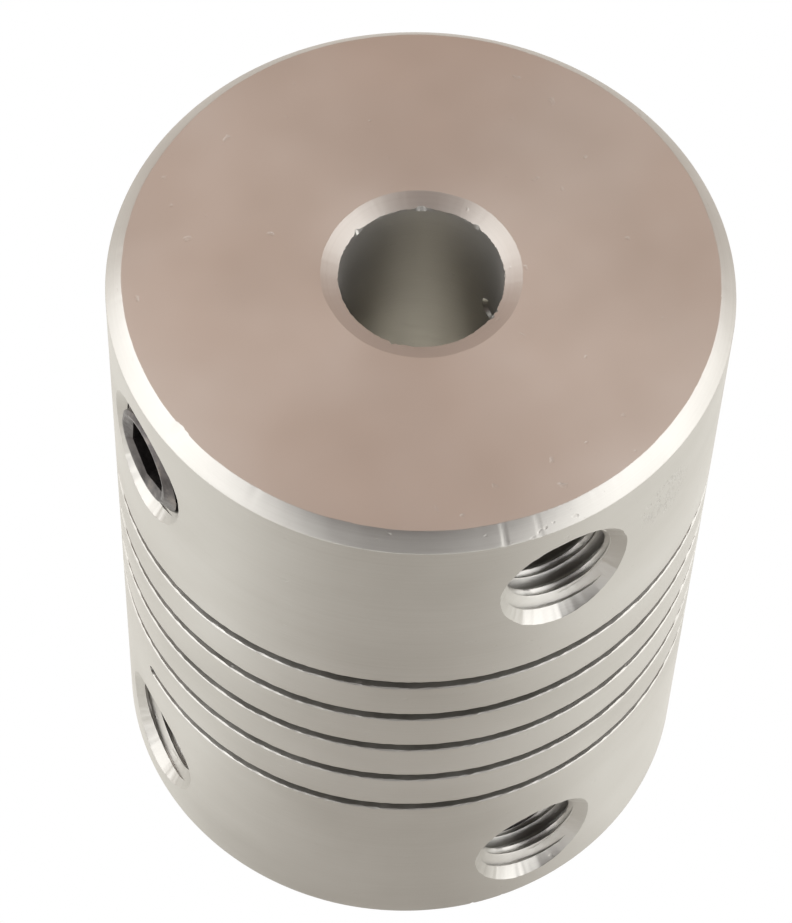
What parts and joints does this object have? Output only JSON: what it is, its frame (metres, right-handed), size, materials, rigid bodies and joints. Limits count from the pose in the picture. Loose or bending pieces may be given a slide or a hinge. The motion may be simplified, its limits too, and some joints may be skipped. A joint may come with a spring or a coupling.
{
  "type": "helical beam coupling",
  "caption": "Cylindrical flexible shaft coupling with a helical slit between two bored hubs and radial set screws.",
  "frame": {"origin": "centre of the lower end face, which the part stands on", "axes": "+Z along both shaft bores, towards the smaller bore; -Y and -X point out of the two screw holes in each hub"},
  "size_m": [0.019, 0.019, 0.025],
  "materials": {
    "aluminium": "satin",
    "screw_steel": "satin"
  },
  "bodies": {
    "lower_hub": {"lower_hub": "aluminium"},
    "half_coil_1": {"half_coil_1": "aluminium"},
    "half_coil_2": {"half_coil_2": "aluminium"},
    "half_coil_3": {"half_coil_3": "aluminium"},
    "half_coil_4": {"half_coil_4": "aluminium"},
    "half_coil_5": {"half_coil_5": "aluminium"},
    "half_coil_6": {"half_coil_6": "aluminium"},
    "half_coil_7": {"half_coil_7": "aluminium"},
    "upper_hub": {"upper_hub": "aluminium"},
    "upper_front_point": {"upper_front_cup_point": "screw_steel"},
    "upper_front_screw": {"upper_front_screw": "screw_steel"},
    "upper_left_point": {"upper_left_cup_point": "screw_steel"},
    "upper_left_screw": {"upper_left_screw": "screw_steel"},
    "lower_front_point": {"lower_front_cup_point": "screw_steel"},
    "lower_front_screw": {"lower_front_screw": "screw_steel"},
    "lower_left_point": {"lower_left_cup_point": "screw_steel"},
    "lower_left_screw": {"lower_left_screw": "screw_steel"}
  },
  "joints": [
    {"name": "lower_bend_x", "type": "hinge", "parent": "lower_hub", "child": "half_coil_1", "pos_m": [0, 0, 0.00903], "axis": [1, 0, 0], "range_deg": [-1, 1], "stiffness_Nm_per_rad": 2.5},
    {"name": "lower_bend_y", "type": "hinge", "parent": "half_coil_1", "child": "half_coil_2", "pos_m": [0, 0, 0.01005], "axis": [0, 1, 0], "range_deg": [-1, 1], "stiffness_Nm_per_rad": 2.5},
    {"name": "lower_wind_up", "type": "hinge", "parent": "half_coil_2", "child": "half_coil_3", "pos_m": [-0.0065, 0, 0.01107], "axis": [0, 0, 1], "range_deg": [-0.75, 0.75], "stiffness_Nm_per_rad": 33},
    {"name": "lower_end_float", "type": "slide", "parent": "half_coil_3", "child": "half_coil_4", "axis": [0, 0, 1], "range_m": [-0.00012, 0.00012], "stiffness_N_per_m": 68000},
    {"name": "upper_end_float", "type": "slide", "parent": "half_coil_4", "child": "half_coil_5", "axis": [0, 0, 1], "range_m": [-0.00012, 0.00012], "stiffness_N_per_m": 68000},
    {"name": "upper_wind_up", "type": "hinge", "parent": "half_coil_5", "child": "half_coil_6", "pos_m": [0.0065, 0, 0.01415], "axis": [0, 0, 1], "range_deg": [-0.75, 0.75], "stiffness_Nm_per_rad": 33},
    {"name": "upper_bend_y", "type": "hinge", "parent": "half_coil_6", "child": "half_coil_7", "pos_m": [0, 0, 0.01517], "axis": [0, 1, 0], "range_deg": [-1, 1], "stiffness_Nm_per_rad": 2.5},
    {"name": "upper_bend_x", "type": "hinge", "parent": "half_coil_7", "child": "upper_hub", "pos_m": [0, 0, 0.0162], "axis": [1, 0, 0], "range_deg": [-1, 1], "stiffness_Nm_per_rad": 2.5},
    {"name": "upper_front_point_travel", "type": "slide", "parent": "upper_hub", "child": "upper_front_point", "axis": [0, -1, 0], "range_m": [-0.0006, 0.0028]},
    {"name": "upper_front_screw_turn", "type": "hinge", "parent": "upper_front_point", "child": "upper_front_screw", "pos_m": [0, -0.008, 0.0213], "axis": [0, -1, 0], "range_deg": [-309.1, 1440.5]},
    {"name": "upper_left_point_travel", "type": "slide", "parent": "upper_hub", "child": "upper_left_point", "axis": [-1, 0, 0], "range_m": [-0.0034, 0]},
    {"name": "upper_left_screw_turn", "type": "hinge", "parent": "upper_left_point", "child": "upper_left_screw", "pos_m": [-0.008, 0, 0.0213], "axis": [-1, 0, 0], "range_deg": [-1749.1, 0.5]},
    {"name": "lower_front_point_travel", "type": "slide", "parent": "lower_hub", "child": "lower_front_point", "axis": [0, -1, 0], "range_m": [-0.0006, 0.0013]},
    {"name": "lower_front_screw_turn", "type": "hinge", "parent": "lower_front_point", "child": "lower_front_screw", "pos_m": [0, -0.008, 0.0037], "axis": [0, -1, 0], "range_deg": [-309.1, 669.1]},
    {"name": "lower_left_point_travel", "type": "slide", "parent": "lower_hub", "child": "lower_left_point", "axis": [-1, 0, 0], "range_m": [-0.0006, 0.0013]},
    {"name": "lower_left_screw_turn", "type": "hinge", "parent": "lower_left_point", "child": "lower_left_screw", "pos_m": [-0.008, 0, 0.0037], "axis": [-1, 0, 0], "range_deg": [-309.1, 669.1]}
  ],
  "couplings": [
    {"joint": "upper_front_screw_turn", "follows": "upper_front_point_travel", "rad_per_m": 8976},
    {"joint": "upper_left_screw_turn", "follows": "upper_left_point_travel", "rad_per_m": 8976},
    {"joint": "lower_front_screw_turn", "follows": "lower_front_point_travel", "rad_per_m": 8976},
    {"joint": "lower_left_screw_turn", "follows": "lower_left_point_travel", "rad_per_m": 8976}
  ]
}
